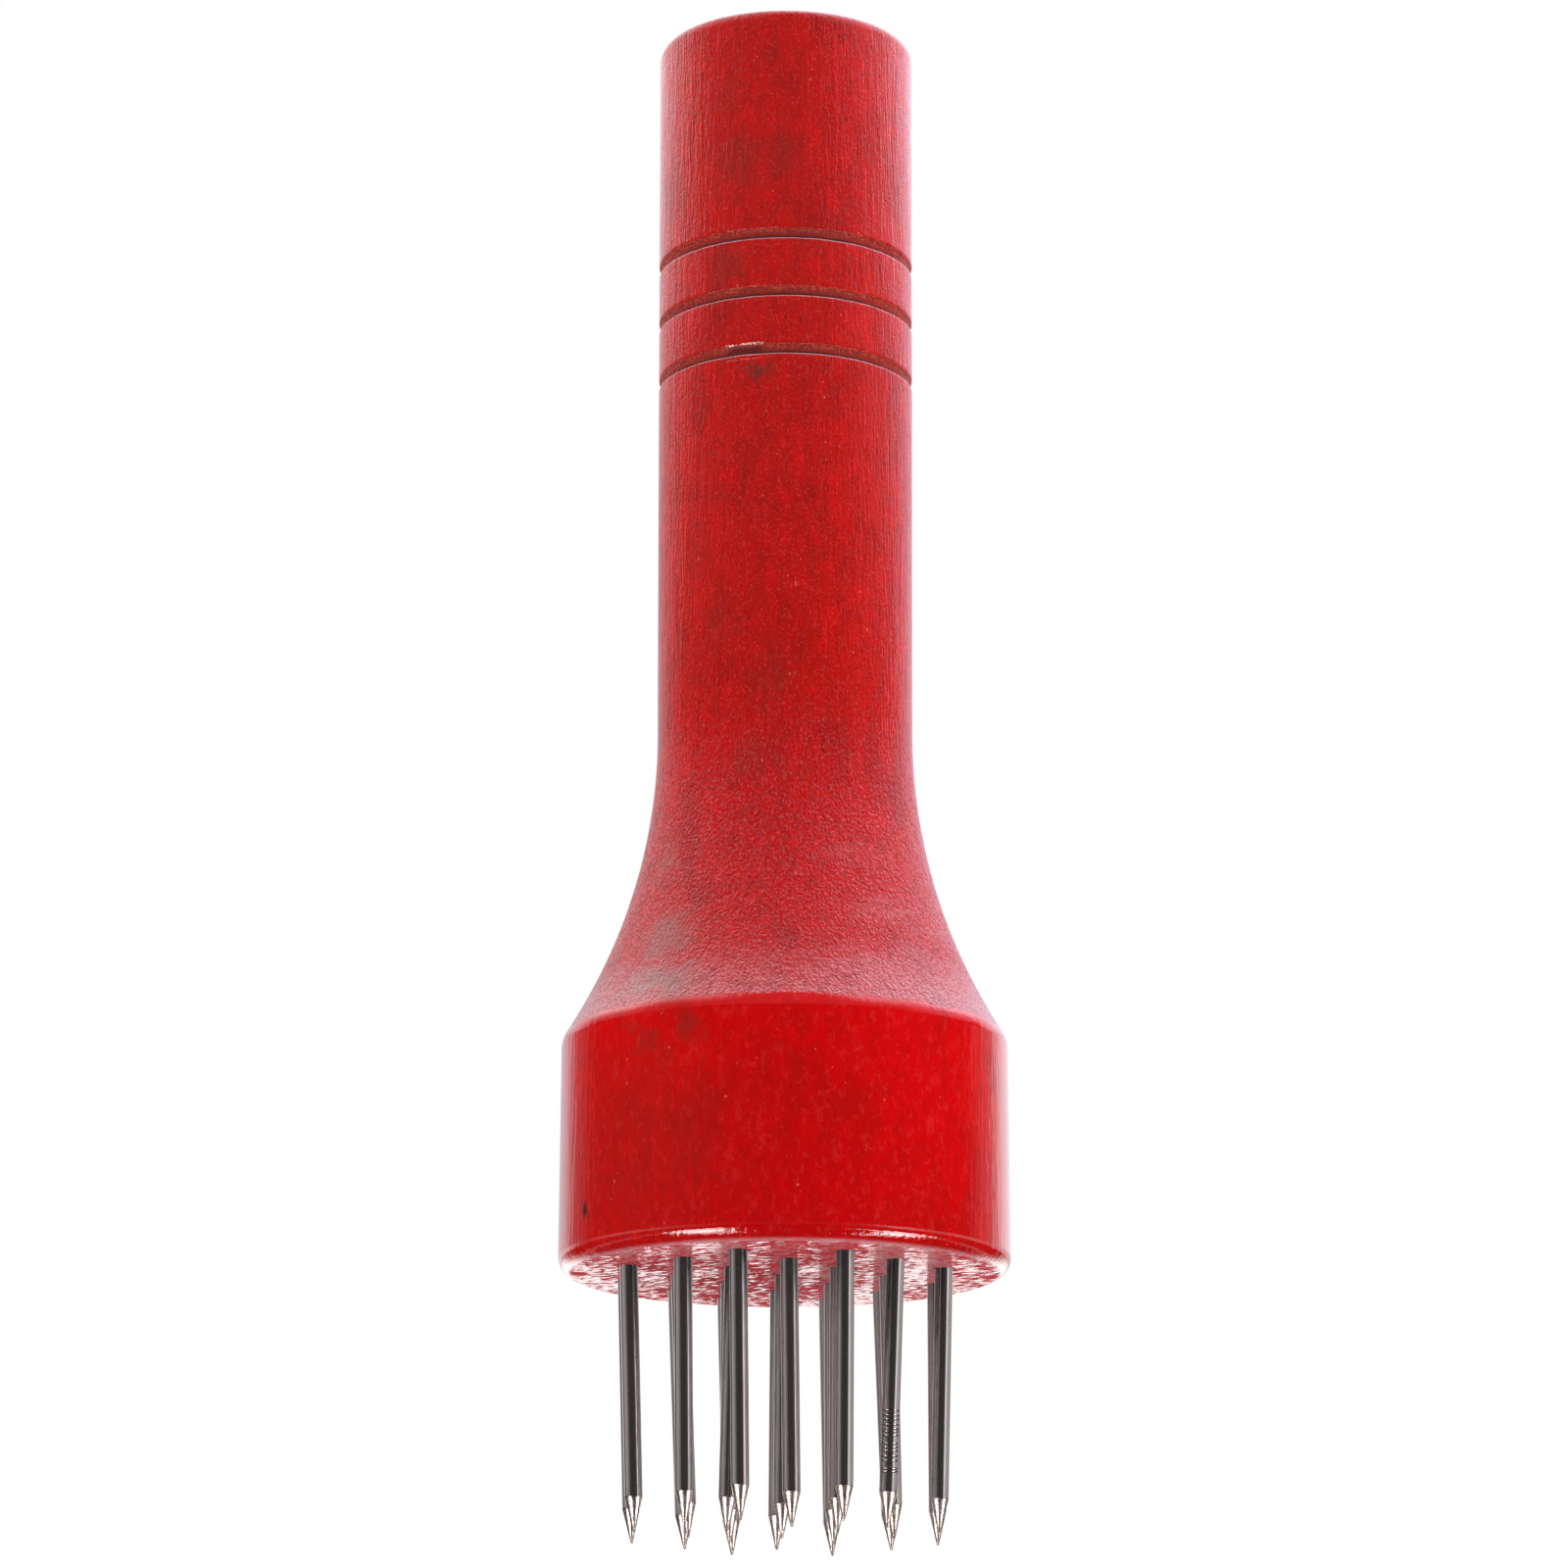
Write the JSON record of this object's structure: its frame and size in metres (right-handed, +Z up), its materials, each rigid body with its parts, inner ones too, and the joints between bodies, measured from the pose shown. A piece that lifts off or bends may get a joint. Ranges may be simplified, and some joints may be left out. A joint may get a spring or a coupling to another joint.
{
  "type": "needle meat tenderizer",
  "caption": "Hand-held needle meat tenderizer: turned red lacquered wooden handle with ring grooves flaring into a round head, with slender steel needles standing in a grid under it.",
  "frame": {"origin": "on the axis of the handle, level with the needle points, the lowest thing on the tool", "axes": "+Z up along the handle from the needle points to the butt; -Y is the front, towards the viewer of the picture; +X is to that viewer's right"},
  "size_m": [0.0584, 0.0584, 0.2017],
  "materials": {
    "red_lacquered_wood": "dyed red, clear gloss lacquer over fine open grain",
    "polished_steel": "bright drawn and polished, ground points"
  },
  "bodies": {
    "root": {"turned_handle": "red_lacquered_wood", "needle_a1": "polished_steel", "needle_a2": "polished_steel", "needle_b1": "polished_steel", "needle_b2": "polished_steel", "needle_b3": "polished_steel", "needle_c1": "polished_steel", "needle_c2": "polished_steel", "needle_c3": "polished_steel", "needle_c4": "polished_steel", "needle_d1": "polished_steel", "needle_d2": "polished_steel", "needle_d3": "polished_steel", "needle_e1": "polished_steel", "needle_e2": "polished_steel", "needle_e3": "polished_steel", "needle_e4": "polished_steel", "needle_f1": "polished_steel", "needle_f2": "polished_steel", "needle_f3": "polished_steel", "needle_g1": "polished_steel", "needle_g2": "polished_steel"}
  },
  "joints": []
}
